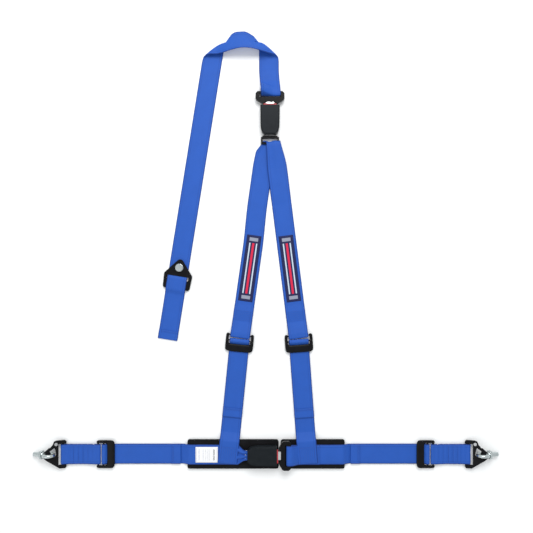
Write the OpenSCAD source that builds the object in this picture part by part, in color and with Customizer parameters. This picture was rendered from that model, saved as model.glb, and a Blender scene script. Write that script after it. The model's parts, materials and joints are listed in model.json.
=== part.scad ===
/* [Webbing] */
// Width of every strap
web_w = 48; // [44:1:52]
// Thickness of the woven strap
web_t = 1.5; // [1.2:0.1:1.8]
// Height of the lowest layer's middle above the floor
web_z = 1.1; // [1:0.1:1.4]
// Thickness of the belly pads
pad_t = 9; // [7:1:12]
// Width of a belly pad beside the strap, on each side
pad_side = 12; // [7:1:18]

/* [Layout] */
// Sideways place of the rear strap, tongue and upper buckle
spine_x = 10.5; // [0:0.5:20]
// Mouth of the upper buckle, along Y
upper_mouth_y = 359.7; // [340:0.1:375]
// Line that the lap straps lie on
lap_y = -487.3; // [-520:0.1:-470]
// Mouth of the lap buckle, along X
lap_mouth_x = 27; // [20:1:34]
// Half the distance between the two strap bars of the hooks
hook_bar_x = 493; // [470:1:520]
// Distance from a hook's strap bar to its adjuster's fixed bar
hook_strap_l = 86; // [80:1:110]
// Angle of the left shoulder strap from the Y axis
left_lean = 8.1; // [7:0.1:9]
// Angle of the right shoulder strap from the Y axis
right_lean = 7.2; // [6.4:0.1:8]
// From the Y axis to the inner edge of the left chest strap on the lap
chest_in_left = 66.82; // [64:0.01:90]
// From the Y axis to the inner edge of the right chest strap on the lap
chest_in_right = 76.79; // [74:0.01:100]
// Length of a shoulder strap from the ring to the adjuster's fixed bar
shoulder_l = 472; // [440:1:490]

/* [Patches and label] */
// Length of a shoulder patch
patch_l = 162; // [120:1:200]
// Width of a shoulder patch
patch_w = 35; // [25:1:42]
// Start of a shoulder patch below the ring
patch_x = 226; // [170:1:240]
// Left end of the sewn label
label_x = -170; // [-180:1:-160]
// Length of the sewn label
label_l = 54; // [40:1:60]
// Width of the sewn label
label_w = 38; // [30:1:42]

/* [Adjusters] */
// Width of an adjuster's side rails
rail = 7; // [5:0.5:9]
// Clear space beside the strap in an adjuster
adj_gap = 3; // [2:0.5:4]
// Length of an adjuster frame
adj_l = 43; // [40:1:48]
// Length of the broad grip bar
grip_l = 17; // [14:1:19]
// Thickness of the frame
adj_t = 3; // [2.5:0.1:3.2]
// Free strap end, from an adjuster's fixed bar to its hem
tail_l = 200; // [140:1:210]

/* [Buckles] */
// Length of a buckle housing
buckle_l = 71; // [66:1:80]
// Width of a buckle housing
buckle_w = 47; // [45:1:54]
// Height of a buckle housing
buckle_h = 21; // [20:0.5:24]
// Wall of the moulded shells
shell_t = 1.8; // [1.4:0.1:2]
// Width of the tongue's steel blade
blade_w = 20; // [16:1:22]
// Thickness of the tongue's steel blade
blade_t = 2.6; // [2:0.1:3]
// Width of the moulded tongue grip beside the strap, on each side
grip_side = 11; // [9:1:14]

/* [Hooks and bolts] */
// Width of the hook plate beside its slot, on each side
hook_side = 8.5; // [7:0.5:10]
// Thickness of the hook plate
hook_t = 4; // [3:0.5:4.5]
// Radius of the eyebolt's round rod
rod_r = 4; // [3.5:0.1:4.2]
// Radius of the eyebolt's ring, to the middle of the rod
ring_r = 12; // [11.5:0.1:12.5]
// Radius of the eyebolt's screw thread
thread_r = 5.56; // [4.5:0.01:6]
// Length of the eyebolt's screw thread
thread_l = 18; // [14:1:24]

/* [Hidden] */
$fn = 48;

pad_w = web_w + 2 * pad_side;
gap = 0.35;           // clear space between bodies that pass each other
fit = 0.06;           // radial running clearance of pins
hull_fn = 32;

// ---- shared shapes ----

// Unit normal of the stretch from a to b
function side(a, b) = let (d = b - a) [-d[1], d[0]] / norm(d);
// Mitred offset of point i of a path by h
function mitre(p, i, h) =
  let (n1 = side(p[max(i - 1, 0)], p[max(i, 1)]),
       n2 = side(p[min(i, len(p) - 2)], p[min(i + 1, len(p) - 1)]))
  p[i] + h * (n1 + n2) / (1 + n1 * n2);
// Closed outline of a strip of thickness t along a path
function strip(p, t) = concat([for (i = [0 : len(p) - 1]) mitre(p, i, t / 2)],
                              [for (i = [len(p) - 1 : -1 : 0]) mitre(p, i, -t / 2)]);
// Points of an arc about c, from angle a to b
function arc(c, r, a, b, n) = [for (i = [0 : n]) let (q = a + (b - a) * i / n) c + r * [cos(q), sin(q)]];

// Strap whose side view is a path in X and Z, of width w across Y
module web(path, w = web_w) {
  rotate([90, 0, 0])
    translate([0, 0, -w / 2])
      linear_extrude(w) polygon(strip(path, web_t));
}

// Flat plate of thickness t from z up
module plate(outline, z, t) {
  translate([0, 0, z])
    linear_extrude(t) polygon(outline);
}

// Box that is centred across Y
module bar(x0, x1, w, z0, z1) {
  translate([x0, -w / 2, z0])
    cube([x1 - x0, w, z1 - z0]);
}

// Plate with round corners
module round_plate(x0, x1, w, z, t, r) {
  hull()
    for (x = [x0 + r, x1 - r], y = [-w / 2 + r, w / 2 - r])
      translate([x, y, z])
        cylinder(h = t, r = r, $fn = hull_fn);
}

// Helical spring along +X, of outer radius r
module coil(r, wire, length, turns) {
  sides = 6;
  steps = 14 * turns;
  pts = [for (i = [0 : steps]) for (k = [0 : sides - 1])
    let (a = 360 * turns * i / steps, q = 360 * k / sides, m = r - wire + wire * cos(q))
    [wire + (length - 2 * wire) * i / steps + wire * sin(q), m * cos(a), m * sin(a)]];
  skin = [for (i = [0 : steps - 1]) for (k = [0 : sides - 1])
    [i * sides + k, i * sides + (k + 1) % sides,
     (i + 1) * sides + (k + 1) % sides, (i + 1) * sides + k]];
  ends = [[for (k = [sides - 1 : -1 : 0]) k], [for (k = [0 : sides - 1]) steps * sides + k]];
  polyhedron(pts, concat(skin, ends), convexity = 8);
}

// ---- buckle, with its mouth at x = 0 and the tongue leaving along +X ----

blade_z = 9.2;
slot_gap = 0.8;
tip_l = 33;
window = [-27, -16];
deck_z = 5.6;
deck_t = 2;
rail_w = 34;
part_z = 7.6;
pivot_x = -42;
pivot_z = 15.2;
pivot_r = 1.5;
tooth_depth = 0.5;
button_w = 32;
button_z = [13.2, 18.4];
button_out = 3;
end_w = 35;
neck_w = 25;

// Outline of the housing: straight sides, then a rounded, narrower rear end
function housing(in) = [
  [0, -buckle_w / 2 + in + 1.5], [-1.5 * (in == 0 ? 1 : 0), -buckle_w / 2 + in],
  [-buckle_l * 0.72, -buckle_w / 2 + in + 0.6], [-buckle_l * 0.9, -end_w / 2 - 2.4 + in],
  [-buckle_l + in, -end_w / 2 + 4.6], [-buckle_l + in, end_w / 2 - 4.6],
  [-buckle_l * 0.9, end_w / 2 + 2.4 - in], [-buckle_l * 0.72, buckle_w / 2 - in - 0.6],
  [-1.5 * (in == 0 ? 1 : 0), buckle_w / 2 - in], [0, buckle_w / 2 - in - 1.5]];

module buckle_mouth() {
  bar(-20, 1, blade_w + 6, blade_z - slot_gap, blade_z + blade_t + slot_gap);
}

module buckle_base() {
  color([0.07, 0.08, 0.09])
    difference() {
      plate(housing(0), 0, part_z);
      translate([0, 0, shell_t])
        linear_extrude(part_z) polygon(housing(shell_t));
      bar(-buckle_l - 1, -buckle_l + 8, neck_w + 1, deck_z - 0.5, part_z + 1);
    }
}

module buckle_cover() {
  color([0.09, 0.1, 0.12])
    difference() {
      union() {
        plate(housing(0), part_z, buckle_h - part_z - 2.5);
        plate(housing(1.2), buckle_h - 2.5, 1.4);
        plate(housing(2.8), buckle_h - 1.1, 1.1);
      }
      translate([-shell_t, 0, part_z - 1])
        linear_extrude(buckle_h - part_z + 1 - shell_t) polygon(housing(shell_t + 1));
      buckle_mouth();
      bar(-8, 1, button_w + 2 * gap, button_z[0] - gap, button_z[1] + gap);
      bar(-buckle_l - 1, -buckle_l + 8, neck_w + 1, part_z - 1, part_z + 5);
    }
}

module buckle_frame() {
  color("silver")
    difference() {
      union() {
        bar(-buckle_l + 5, -2.2, rail_w - 4, deck_z, deck_z + deck_t);
        for (s = [-1, 1])
          translate([-buckle_l + 18, s * (rail_w / 2 - 1) - 1, deck_z])
            cube([buckle_l - 24, 2, 13.4]);
        bar(-buckle_l + 18, -6, rail_w - 0.2, deck_z, deck_z + deck_t);
        bar(-buckle_l - 6, -buckle_l + 6, neck_w - 1, deck_z, deck_z + deck_t);
      }
      translate([pivot_x, -rail_w, pivot_z])
        rotate([-90, 0, 0])
          cylinder(h = 2 * rail_w, r = pivot_r + fit);
      for (s = [-1, 1])
        translate([-10, s * (rail_w / 2 - 1), button_z[0] + 2.6])
          cube([14, 4, 5.6 + 2 * gap], center = true);
    }
}

module buckle_latch() {
  color("silver")
    union() {
      translate([pivot_x, -rail_w / 2 + 0.2, pivot_z])
        rotate([-90, 0, 0])
          cylinder(h = rail_w - 0.4, r = pivot_r);
      bar(pivot_x - 3, pivot_x + 20, 14, pivot_z - 1.9, pivot_z - 0.4);
      bar(pivot_x - 3, pivot_x + 3, 14, pivot_z - 2.2, pivot_z + 1.5);
      bar(pivot_x + 20, pivot_x + 23, 9, blade_z + blade_t - tooth_depth, pivot_z - 0.4);
    }
}

module buckle_ejector() {
  color("dimgray")
    difference() {
      bar(-46, -tip_l - 0.4, 20, deck_z + deck_t + 0.4, 12.6);
      bar(-47, -43, 9, deck_z + deck_t + 0.8, 12.2);
    }
}

module buckle_button() {
  color([0.75, 0.1, 0.14])
    difference() {
      round_plate(-12, button_out, button_w, button_z[0], button_z[1] - button_z[0], 1.5);
      bar(-13, -5, 20, button_z[0] + 1, button_z[1] + 1);
    }
}

module buckle_springs() {
  color("silver") {
    translate([-62, 0, 10.3])
      coil(1.8, 0.35, 18.9, 8);
    for (s = [-1, 1])
      translate([-21, s * 13, button_z[0] + 2.6])
        coil(1.6, 0.3, 8.9, 6);
  }
}

// ---- tongue, in its buckle's frame ----

tongue_z = blade_z + blade_t / 2;
grip_t = 9.4;
grip_front = 9.6;
grip_tip = 4.6;
grip_back = 34;
slot = [20, 27.5];
slot_w = web_w + 3;
grip_w = web_w + 2 * grip_side;

module tongue_blade() {
  color("silver")
    difference() {
      union() {
        bar(-tip_l + 3, 14, blade_w, blade_z, blade_z + blade_t);
        bar(-tip_l, -tip_l + 4, blade_w - 5, blade_z, blade_z + blade_t);
        bar(12, grip_back - 2, grip_w - 6, blade_z, blade_z + blade_t);
      }
      bar(window[0], window[1], 12, 0, 20);
      bar(slot[0] - 1, slot[1] + 1, slot_w + 2, 0, 20);
    }
}

module tongue_grip() {
  color([0.06, 0.06, 0.07])
    difference() {
      plate([[grip_front, -blade_w / 2 - 1], [grip_tip, -blade_w / 2 - 3], [grip_tip, -blade_w / 2 - 8],
             [13, -grip_w / 2 + 2], [17, -grip_w / 2], [grip_back - 5, -grip_w / 2],
             [grip_back, -grip_w / 2 + 5], [grip_back, grip_w / 2 - 5],
             [grip_back - 5, grip_w / 2], [17, grip_w / 2], [13, grip_w / 2 - 2],
             [grip_tip, blade_w / 2 + 8], [grip_tip, blade_w / 2 + 3],
             [grip_front, blade_w / 2 + 1]], tongue_z - grip_t / 2, grip_t);
      bar(slot[0], slot[1], slot_w, 0, 30);
      bar(0, 14, blade_w, blade_z, blade_z + blade_t);
      bar(12, grip_back - 2, grip_w - 6, blade_z, blade_z + blade_t);
    }
}

// Strap that loops round the tongue's rear bar, then runs out along +X at height z_run
function tongue_loop(x_run, z_run) = let (x1 = slot[0] + 3, z0 = tongue_z, h = grip_t / 2 + web_t / 2 + gap) [
  [grip_back + 8, z0 - h], [slot[1] - 0.5, z0 - h], [x1, z0 - h + 2.4], [x1, z0 + h - 2.4],
  [slot[1] - 0.5, z0 + h], [grip_back + 3, z0 + h], [x_run - 8, z_run + 1.5], [x_run, z_run]];

// ---- where the two buckles lie ----

module at_upper() {
  translate([spine_x, upper_mouth_y, 0])
    rotate([0, 0, 90]) children();
}

module at_lap() {
  translate([lap_mouth_x, lap_y, pad_t])
    children();
}

module upper_buckle_base() { at_upper() buckle_base(); }
module upper_buckle_cover() { at_upper() buckle_cover(); }
module upper_buckle_frame() { at_upper() buckle_frame(); }
module upper_buckle_button() { at_upper() buckle_button(); }
module upper_buckle_latch() { at_upper() buckle_latch(); }
module upper_buckle_ejector() { at_upper() buckle_ejector(); }
module upper_buckle_springs() { at_upper() buckle_springs(); }
module upper_tongue_blade() { at_upper() tongue_blade(); }
module upper_tongue_grip() { at_upper() tongue_grip(); }
module lap_buckle_base() { at_lap() buckle_base(); }
module lap_buckle_cover() { at_lap() buckle_cover(); }
module lap_buckle_frame() { at_lap() buckle_frame(); }
module lap_buckle_button() { at_lap() buckle_button(); }
module lap_buckle_latch() { at_lap() buckle_latch(); }
module lap_buckle_ejector() { at_lap() buckle_ejector(); }
module lap_buckle_springs() { at_lap() buckle_springs(); }
module lap_tongue_blade() { at_lap() tongue_blade(); }
module lap_tongue_grip() { at_lap() tongue_grip(); }

// Black ring at the upper buckle's rear end that both shoulder straps hang from
ring_w = 44;
ring_hole = 36;
ring_bar_x = -buckle_l - 20;
ring_z = deck_z + deck_t / 2;
module upper_anchor_ring() {
  color([0.05, 0.05, 0.06])
    at_upper() {
      difference() {
        round_plate(-buckle_l - 9, -buckle_l - 2, ring_w - 6, ring_z - 2.5, 5, 2);
        bar(-buckle_l - 6.2, -buckle_l, neck_w, deck_z - 0.1, deck_z + deck_t + 0.1);
      }
      for (s = [-1, 1])
        translate([ring_bar_x, s * (ring_hole / 2 + 2) - 2, ring_z - 2.5])
          cube([15, 4, 5]);
      translate([ring_bar_x, -ring_hole / 2 - 4, ring_z])
        rotate([-90, 0, 0])
          cylinder(h = ring_hole + 8, r = 2.5);
    }
}

// ---- rear strap: tongue loop, climb, raised cross run, long run down to the anchor bracket ----

fold_r = 6.5;
rear_lean = 9.1;
cross_edge = 110;               // lower edge of the cross run, beyond the upper mouth
cross_right = 32;               // fold's inner corner at the right end
cross_l = 138;                  // lower edge of the cross run, along X
run_l = 555;                    // second fold to the bracket's slot
square_l = 44;                  // from the second fold's middle to the first square cut
cross_y = upper_mouth_y + cross_edge;
fold_run = web_w * (1 + sin(rear_lean)) / cos(rear_lean);
run_dir = [-sin(rear_lean), -cos(rear_lean)];
run_side = [cos(rear_lean), -sin(rear_lean)];
fold_a = [cross_right, cross_y];
fold_b = [cross_right - web_w, cross_y + web_w];
fold_p = [cross_right - cross_l - web_w, cross_y];
fold_q = fold_p + [fold_run, web_w];
run_top = (fold_p + fold_q) / 2;
bracket_pos = run_top + run_l * run_dir;
bracket_z = web_z + web_t / 2 + gap;
bracket_t = 3;
tail_end = 157;

// Half a round turn of strap along the line from a to b, bulging to the line's right
module half_turn(a, b) {
  long = norm(b - a);
  translate([a[0], a[1], 0])
    rotate([0, 0, atan2(b[1] - a[1], b[0] - a[0]) - 90])
      translate([0, long, 0])
        rotate([90, 0, 0])
          linear_extrude(long)
            polygon(strip(arc([0, web_z + fold_r], fold_r, -90, 90, 14), web_t));
}

module rear_strap() {
  low = web_z - web_t / 2;
  cut = run_top + square_l * run_dir;
  top = bracket_z + bracket_t + web_t / 2 + gap;
  color([0.2, 0.38, 0.78])
    union() {
      at_upper() web(tongue_loop(grip_back + 34, web_z));
      plate([[spine_x - web_w / 2, upper_mouth_y + grip_back + 33],
             [spine_x + web_w / 2, upper_mouth_y + grip_back + 33], fold_a, fold_b], low, web_t);
      half_turn(fold_a, fold_b);
      plate([fold_a, fold_b, fold_q, fold_p], low + 2 * fold_r, web_t);
      mirror([1, 0, 0])
        half_turn([-fold_p[0], fold_p[1]], [-fold_q[0], fold_q[1]]);
      plate([fold_p, fold_q, cut + web_w / 2 * run_side, cut - web_w / 2 * run_side], low, web_t);
      at_bracket()
        web([[square_l - run_l - 1, web_z], [0.5, web_z], [5.5, top], [34, top],
             [44, web_z], [tail_end, web_z]]);
    }
}

// Frame of the bracket: +X runs down the strap's tail, +Z up
module at_bracket() {
  translate([bracket_pos[0], bracket_pos[1], 0])
    rotate([0, 0, -90 - rear_lean]) children();
}

bolt_x = -21;
bolt_r = 5.56;
module rear_bracket() {
  color([0.06, 0.06, 0.07])
    at_bracket()
      difference() {
        hull() {
          translate([-32, 0, bracket_z]) cylinder(h = bracket_t, r = 9, $fn = hull_fn);
          for (s = [-1, 1]) {
            translate([-2, s * (web_w / 2 + 5), bracket_z]) cylinder(h = bracket_t, r = 5.5, $fn = hull_fn);
            translate([26, s * (web_w / 2 + 3), bracket_z]) cylinder(h = bracket_t, r = 6, $fn = hull_fn);
          }
        }
        translate([bolt_x, 0, 0]) cylinder(h = 20, r = bolt_r + fit);
        bar(0, 9, web_w + 4, 0, 20);
      }
}

module rear_anchor_bolt() {
  head_z = bracket_z + bracket_t;
  color("silver")
    at_bracket()
      translate([bolt_x, 0, 0])
        union() {
          translate([0, 0, web_z + web_t / 2 + 0.1]) cylinder(h = head_z - web_z - web_t / 2, r = bolt_r);
          translate([0, 0, head_z + 0.1]) cylinder(h = 1.2, r = 9.6);
          translate([0, 0, head_z + 1.2]) cylinder(h = 6.4, r = 9.4, $fn = 6);
        }
}

// ---- shoulder straps, from the ring down to their adjusters ----

ring_pos = [spine_x, upper_mouth_y + ring_bar_x];
shoulder_top = [6, 10];         // sideways start of the left and right strap beside the spine
layer = web_t + 0.5;
// Where the two straps lie side by side, down from the ring
part_x = (web_w - shoulder_top[0] - shoulder_top[1]) / (sin(left_lean) + sin(right_lean));

// Frame of a shoulder strap: +X runs from the ring down the strap
module at_shoulder(right) {
  translate([ring_pos[0] + (right ? shoulder_top[1] : -shoulder_top[0]), ring_pos[1], 0])
    rotate([0, 0, -90 + (right ? right_lean : -left_lean)]) children();
}

// Frame of a chest strap: +X runs from the adjuster's fixed bar to the lap
function bar_x(right) = ring_pos[0] + (right ? shoulder_top[1] + shoulder_l * sin(right_lean)
                                             : -shoulder_top[0] - shoulder_l * sin(left_lean));
function bar_y(right) = ring_pos[1] - shoulder_l * cos(right ? right_lean : left_lean);
function chest_lean(right) =
  atan(((right ? chest_in_right - bar_x(true) : chest_in_left + bar_x(false)) + web_w / 2)
       / (bar_y(right) - lap_y));
module at_chest(right) {
  at_shoulder(right)
    translate([shoulder_l, 0, 0])
      rotate([0, 0, right ? chest_lean(right) - right_lean : left_lean - chest_lean(right)]) children();
}

// ---- strap adjuster: fixed bar at x = 0, lock bar, then the broad grip bar ----

bar_z = 6.4;
adj_w = web_w + 2 * (adj_gap + rail);
lock_x = 13;
lock_r = 2;
lock_z = 6.6;
tail_z = web_z + layer + 0.4;
turn_top = lock_z + lock_r + gap + web_t / 2;
turn_low = lock_z - lock_r - gap - web_t / 2;

// Side view of the frame's rails and bars is flat; the grip bar's lip turns up
module adjuster() {
  color([0.06, 0.06, 0.07])
    difference() {
      union() {
        for (s = [-1, 1])
          translate([-4.5, s * (adj_w / 2 - rail / 2) - rail / 2, bar_z - adj_t / 2])
            cube([adj_l - 5, rail, adj_t]);
        translate([0, -adj_w / 2 + 1, bar_z])
          rotate([-90, 0, 0])
            cylinder(h = adj_w - 2, r = adj_t / 2);
        bar(adj_l - 5 - grip_l, adj_l - 5.5, adj_w - 1, bar_z - adj_t / 2, bar_z + adj_t / 2);
        rotate([90, 0, 0])
          translate([0, 0, -adj_w / 2])
            linear_extrude(adj_w)
              polygon(strip(arc([adj_l - 6, bar_z + 3], 3.2, -90, 10, 6), adj_t - 0.6));
      }
      translate([lock_x, -adj_w, lock_z])
        rotate([-90, 0, 0])
          cylinder(h = 2 * adj_w, r = lock_r + fit);
    }
}

module lock_bar() {
  color("gray")
    translate([lock_x, -adj_w / 2 + 1, lock_z])
      rotate([-90, 0, 0])
        cylinder(h = adj_w - 2, r = lock_r);
}

// Strap's turn over the lock bar
module turn() {
  color([0.2, 0.38, 0.78])
    web([[lock_x + 5, turn_low], [lock_x - 1, turn_low], [lock_x - lock_r - 1.2, turn_low + 1.4],
         [lock_x - lock_r - 1.2, turn_top - 1.4], [lock_x - 1, turn_top], [lock_x + 1.5, turn_top],
         [lock_x + 5.5, turn_top - 3.4]]);
}

// ---- shoulder and chest straps ----

over_pad = pad_t + web_z;
loop_r = adj_t / 2 + gap + web_t / 2;
lap_double = 104;               // end of the doubled web beyond the lap mouth
function chest_x(right, y) = (bar_y(right) - y) / cos(chest_lean(right));

module shoulder_strap(right) {
  high = ring_z + 2.5 + gap + web_t / 2;
  under = ring_z - 2.5 - gap - web_t / 2;
  start = right
    ? [[-1, high + layer], [9, high + layer], [60, web_z + layer + 1], [part_x - 2, web_z + layer]]
    : [[7, under - 0.15], [15.5, under - 0.15], [32, web_z]];
  x = shoulder_l;
  color([0.2, 0.38, 0.78])
    union() {
      at_shoulder(right)
        web(concat(start, [[part_x + 30, web_z], [x - 76, web_z], [x - 60, web_z + layer], [x - 34, web_z + layer],
                   [x - 6, bar_z + loop_r], [x + 2.5, bar_z + loop_r], [x + 4.2, bar_z + 1],
                   [x + 4.2, bar_z - 1], [x + 2.5, bar_z - loop_r], [x - 6, bar_z - loop_r],
                   [x - 26, web_z], [x - 56, web_z]]));
      // gathered middle of the webbing, hung over the ring
      if (!right)
        translate([ring_pos[0], ring_pos[1], 0])
          rotate([0, 0, -90])
            web([[1, high], [-1.5, high], [-4.2, ring_z + 1.5], [-4.2, ring_z - 1.5], [-1.5, under],
                 [14, under]], ring_hole - 2);
    }
}

module chest_strap(right) {
  rise = chest_x(right, lap_y + pad_w / 2);
  over = over_pad + layer * (right ? 2 : 1);
  color([0.2, 0.38, 0.78])
    at_chest(right) {
      web([[lock_x - 4, web_z], [rise - 16, web_z], [rise - 2, over],
           [chest_x(right, lap_y - web_w / 2 + 3), over]]);
      web([[adj_l - 5 - grip_l + 1, tail_z], [60, tail_z], [tail_l, tail_z]]);
    }
}

module shoulder_patch(right) {
  color([0.05, 0.08, 0.25])
    at_shoulder(right)
      translate([0, 0, web_z + web_t / 2])
        bar(patch_x, patch_x + patch_l, patch_w, 0, 0.6);
}

// ---- lap: pads, straps, label ----

pad_gap = 5;
pad_split = lap_mouth_x + 7;
pad_left = 222;
pad_right = 156;

module pad(x0, x1) {
  color([0.06, 0.06, 0.07])
    translate([0, lap_y, 0])
      round_plate(x0, x1, pad_w, 0, pad_t, 5);
}

module lap_pad_left() { pad(pad_split - pad_gap / 2 - pad_left, pad_split - pad_gap / 2); }
module lap_pad_right() { pad(pad_split + pad_gap / 2, pad_split + pad_gap / 2 + pad_right); }

adj_x = hook_bar_x - hook_strap_l;

module lap_strap_left() {
  neck_x = lap_mouth_x - buckle_l - 6;
  neck_z = pad_t + deck_z + deck_t / 2;
  edge = pad_split - pad_gap / 2 - pad_left;
  color([0.2, 0.38, 0.78])
    translate([0, lap_y, 0])
      union() {
        web([[-adj_x + lock_x - 4, web_z], [edge - 10, web_z], [edge - 1, over_pad],
             [neck_x - 12.5, over_pad], [neck_x - 8, neck_z - 2]]);
        web([[neck_x - 9.5, neck_z - 3.2], [neck_x - 6, neck_z - 0.4], [neck_x - 0.2, neck_z]], neck_w - 1);
      }
}

module lap_strap_right() {
  edge = pad_split + pad_gap / 2 + pad_right - lap_mouth_x;
  h = grip_t / 2 + web_t / 2 + gap;
  x1 = slot[0] + 3;
  color([0.2, 0.38, 0.78])
    at_lap()
      web([[adj_x - lock_x + 4 - lap_mouth_x, web_z - pad_t], [edge + 10, web_z - pad_t],
           [edge + 1, web_z], [46, web_z], [36, tongue_z - h], [slot[1] - 0.5, tongue_z - h],
           [x1, tongue_z - h + 2.4], [x1, tongue_z + h - 2.4], [slot[1] - 0.5, tongue_z + h],
           [36.5, tongue_z + h], [45.5, web_z + layer + 0.5], [48, web_z + layer], [lap_double, web_z + layer]]);
}

module care_label() {
  color("white")
    translate([label_x, lap_y - label_w / 2, over_pad + web_t / 2])
      cube([label_l, label_w, 0.4]);
}

// ---- the two outer ends: drawn on the right, mirrored for the left ----

module at_outer(right) {
  mirror([right ? 0 : 1, 0, 0])
    translate([adj_x, lap_y, 0])
      rotate([0, 0, 180]) children();
}

module lap_tail(right) {
  color([0.2, 0.38, 0.78])
    at_outer(right)
      web([[adj_l - 5 - grip_l + 1, tail_z], [60, tail_z], [tail_l, tail_z]]);
}

hook_z = 6;
ring_d = 34;                    // strap bar to the middle of the eyebolt's ring
ring_c = ring_r + rod_r;
hook_pitch = asin((ring_c + 0.05 - hook_z) / ring_d);
bolt_droop = 14.6;

module hook_strap(right) {
  x = -hook_strap_l;
  r = hook_t / 2 + gap + web_t / 2;
  color([0.2, 0.38, 0.78])
    at_outer(right)
      web([[-13, bar_z - loop_r], [-32, 3.6], [x + 14, 3], [x - 2.5, hook_z - r], [x - 5.6, hook_z - 1],
           [x - 5.9, hook_z + 2.4], [x - 2.5, hook_z + r + 0.9], [x + 14, hook_z + 1.2], [-32, 5.9],
           [-8, bar_z + loop_r], [2.5, bar_z + loop_r], [4.2, bar_z + 1], [4.2, bar_z - 1],
           [2.5, bar_z - loop_r], [-10, bar_z - loop_r]]);
}

// Frame of a hook: +X out along its plate from the strap bar, Z square to the plate
module at_hook(right) {
  mirror([right ? 0 : 1, 0, 0])
    translate([hook_bar_x, lap_y, hook_z])
      rotate([0, -hook_pitch, 0]) children();
}

eye_x = ring_d - ring_r;
rivet_pos = [16, 26.5];
gate_tip = [32.5, 11.5];
rivet_r = 2;
module snap_hook(right) {
  side_y = slot_w / 2 + hook_side;
  color([0.06, 0.06, 0.07])
    at_hook(right) {
      translate([0, -slot_w / 2 - 2, 0])
        rotate([-90, 0, 0])
          cylinder(h = slot_w + 4, r = hook_t / 2);
      difference() {
        plate([[-8, -side_y + 4], [-5, -side_y], [8, -side_y], [39, -12.5], [46, -5.6], [41, -4.6],
               [41, 4.6], [46, 5.6], [34, 15.8], [24, 24], [21, side_y - 2], [15, side_y],
               [-5, side_y], [-8, side_y - 4]],
              -hook_t / 2, hook_t);
        bar(-9, 10.5, slot_w, -5, 5);
        translate([eye_x, 0, -5]) cylinder(h = 10, r = rod_r + 1.6);
        plate([[16.6, 1.5], [27.2, 1.5], [31, 9], [30.5, 14.5], [34, 24], [26, 34], [23.2, 22], [18, 12]],
              -5, 10);
        translate([rivet_pos[0], rivet_pos[1], -5]) cylinder(h = 10, r = rivet_r + fit);
      }
    }
}

module hook_gate(right) {
  z = hook_t / 2 + 0.2;
  color([0.1, 0.1, 0.11])
    at_hook(right)
      difference() {
        hull() {
          translate([rivet_pos[0], rivet_pos[1], z]) cylinder(h = 2.2, r = 5, $fn = hull_fn);
          translate([gate_tip[0], gate_tip[1], z]) cylinder(h = 2.2, r = 2.4, $fn = hull_fn);
        }
        translate([rivet_pos[0], rivet_pos[1], 0]) cylinder(h = 10, r = rivet_r + fit);
      }
}

module gate_rivet(right) {
  color("silver")
    at_hook(right)
      translate([rivet_pos[0], rivet_pos[1], 0])
        union() {
          translate([0, 0, -hook_t / 2 - 1.4]) cylinder(h = 1.3, r = 3.6);
          translate([0, 0, -hook_t / 2 - 1.4]) cylinder(h = hook_t + 6.4, r = rivet_r);
          translate([0, 0, hook_t / 2 + 4.1]) cylinder(h = 1.3, r = 3.8);
        }
}

module gate_spring(right) {
  color("silver")
    at_hook(right)
      translate([rivet_pos[0], rivet_pos[1], hook_t / 2 + 2.5])
        rotate([0, -90, 0])
          coil(rivet_r + 1, 0.25, 1.5, 1.5);
}

module eyebolt(right) {
  x0 = ring_c + rod_r - 4.6;
  color("silver")
    mirror([right ? 0 : 1, 0, 0])
      translate([hook_bar_x + ring_d * cos(hook_pitch), lap_y, ring_c + 0.05])
        rotate([0, bolt_droop, 0])
          union() {
            rotate([90, 0, 0])
              rotate_extrude()
                translate([ring_r, 0]) circle(rod_r);
            rotate([0, 90, 0]) {
              difference() {
                translate([0, 0, x0 - 3.4]) cylinder(h = 4.2, r1 = 5, r2 = 7);
                rotate([90, 0, 0]) cylinder(h = 40, r = ring_r, center = true);
              }
              translate([0, 0, x0]) cylinder(h = 6, r = 10.9, $fn = 6);
              translate([0, 0, x0 + 5]) cylinder(h = thread_l + 1, r = thread_r);
            }
          }
}

// ---- left and right ones ----

module shoulder_strap_left() { shoulder_strap(false); }
module shoulder_strap_right() { shoulder_strap(true); }
module shoulder_patch_left() { shoulder_patch(false); }
module shoulder_patch_right() { shoulder_patch(true); }
module chest_strap_left() { chest_strap(false); }
module chest_strap_right() { chest_strap(true); }
module lap_tail_left() { lap_tail(false); }
module lap_tail_right() { lap_tail(true); }
module hook_strap_left() { hook_strap(false); }
module hook_strap_right() { hook_strap(true); }
module snap_hook_left() { snap_hook(false); }
module snap_hook_right() { snap_hook(true); }
module hook_gate_left() { hook_gate(false); }
module hook_gate_right() { hook_gate(true); }
module gate_rivet_left() { gate_rivet(false); }
module gate_rivet_right() { gate_rivet(true); }
module gate_spring_left() { gate_spring(false); }
module gate_spring_right() { gate_spring(true); }
module eyebolt_left() { eyebolt(false); }
module eyebolt_right() { eyebolt(true); }
module shoulder_adjuster_left() { at_chest(false) adjuster(); }
module shoulder_lock_bar_left() { at_chest(false) lock_bar(); }
module shoulder_turn_left() { at_chest(false) turn(); }
module lap_adjuster_left() { at_outer(false) adjuster(); }
module lap_lock_bar_left() { at_outer(false) lock_bar(); }
module lap_turn_left() { at_outer(false) turn(); }
module shoulder_adjuster_right() { at_chest(true) adjuster(); }
module shoulder_lock_bar_right() { at_chest(true) lock_bar(); }
module shoulder_turn_right() { at_chest(true) turn(); }
module lap_adjuster_right() { at_outer(true) adjuster(); }
module lap_lock_bar_right() { at_outer(true) lock_bar(); }
module lap_turn_right() { at_outer(true) turn(); }

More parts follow.
